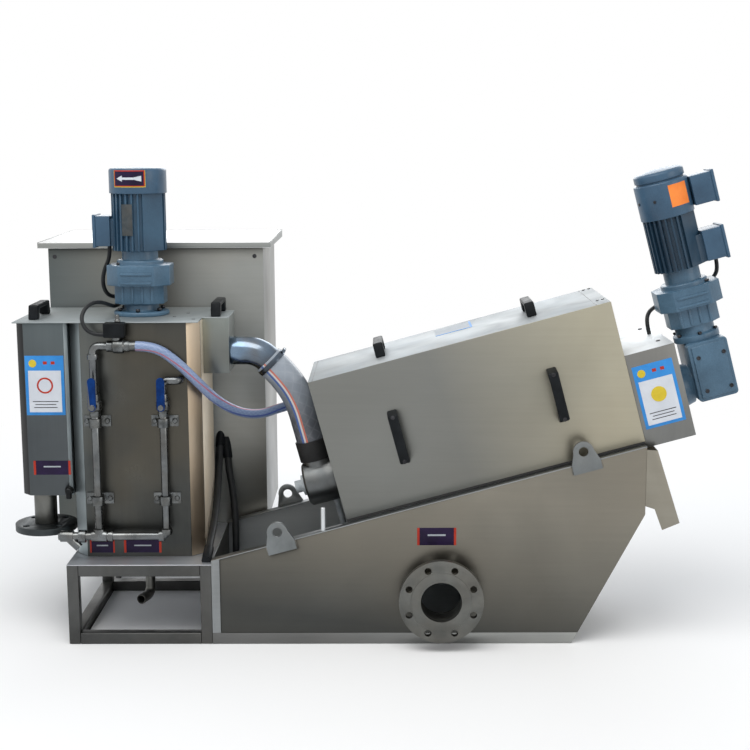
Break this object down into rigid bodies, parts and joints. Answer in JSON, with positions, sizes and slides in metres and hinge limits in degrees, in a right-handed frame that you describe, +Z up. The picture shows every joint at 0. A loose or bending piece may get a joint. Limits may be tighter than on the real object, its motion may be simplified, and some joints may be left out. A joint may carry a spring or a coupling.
{
  "type": "multi-disc screw press",
  "caption": "Sludge dewatering press: stirred mixing tank, hose to an inclined ring-stack barrel under a sheet cover, geared drive, filtrate tank below and control cabinet behind.",
  "frame": {"origin": "on the floor under the middle of the base frame's right-hand cross rail", "axes": "+X along the machine to the discharge end, +Y away from the filtrate outlet's side, +Z up"},
  "size_m": [1.9415, 0.904, 1.247],
  "materials": {
    "stainless": "brushed and satin polished",
    "motor_paint": "blue-grey gloss enamel",
    "black_plastic": "fine grain",
    "blue_plastic": "smooth sleeve on steel",
    "clear_hose": "clear flexible hose",
    "rubber": "black rubber",
    "cable_sheath": "black cable sheath"
  },
  "bodies": {
    "machine": {"agitator_cable": "cable_sheath", "agitator_fan_cover": "motor_paint", "agitator_gearbox": "motor_paint", "agitator_motor": "motor_paint", "agitator_pedestal": "motor_paint", "agitator_terminal_box": "motor_paint", "cabinet_body": "stainless", "cabinet_cable_front": "cable_sheath", "cabinet_cable_tank": "cable_sheath", "cabinet_door": "stainless", "cabinet_roof": "stainless", "cable_glands": "black_plastic", "chamber_fittings": "stainless", "cover_handles": "black_plastic", "discharge_chute": "stainless", "drive_cable": "cable_sheath", "drive_fan_cover": "motor_paint", "drive_gear_stage": "motor_paint", "drive_gearbox": "motor_paint", "drive_motor": "motor_paint", "drive_terminal_boxes": "motor_paint", "end_box": "stainless", "feed_elbow": "stainless", "feed_hose": "clear_hose", "filtrate_flange": "stainless", "filtrate_pipe": "stainless", "frame_deck": "stainless", "frame_posts": "stainless", "frame_rails": "stainless", "hose_clamp": "stainless", "hose_cuff": "rubber", "inlet_chamber": "stainless", "inlet_downpipe": "stainless", "inlet_flange": "stainless", "lid_handles": "black_plastic", "lifting_lugs": "stainless", "metering_box": "stainless", "mixing_tank": "stainless", "outlet_box": "stainless", "pipe_clips": "stainless", "screw_barrel": "stainless", "screw_cover": "stainless", "screw_shaft": "stainless", "solenoid_body": "stainless", "solenoid_cable": "cable_sheath", "solenoid_coil": "black_plastic", "tank_base": "stainless", "tank_drain": "stainless", "tank_end_plate": "stainless", "tank_floor": "stainless", "tank_front_plate": "stainless", "tank_lid": "stainless", "tank_rear_plate": "stainless", "tank_rims": "stainless", "wash_header": "stainless", "wash_hose": "clear_hose", "wash_risers": "stainless", "wash_valves": "stainless"},
    "lever_left": {"lever_left": "blue_plastic"},
    "lever_right": {"lever_right": "blue_plastic"}
  },
  "joints": [
    {"name": "left_valve", "type": "hinge", "parent": "machine", "child": "lever_left", "pos_m": [-0.284, -0.214, 0.634], "axis": [0, 1, 0], "range_deg": [0, 90]},
    {"name": "right_valve", "type": "hinge", "parent": "machine", "child": "lever_right", "pos_m": [-0.106, -0.214, 0.634], "axis": [0, 1, 0], "range_deg": [0, 90]}
  ]
}
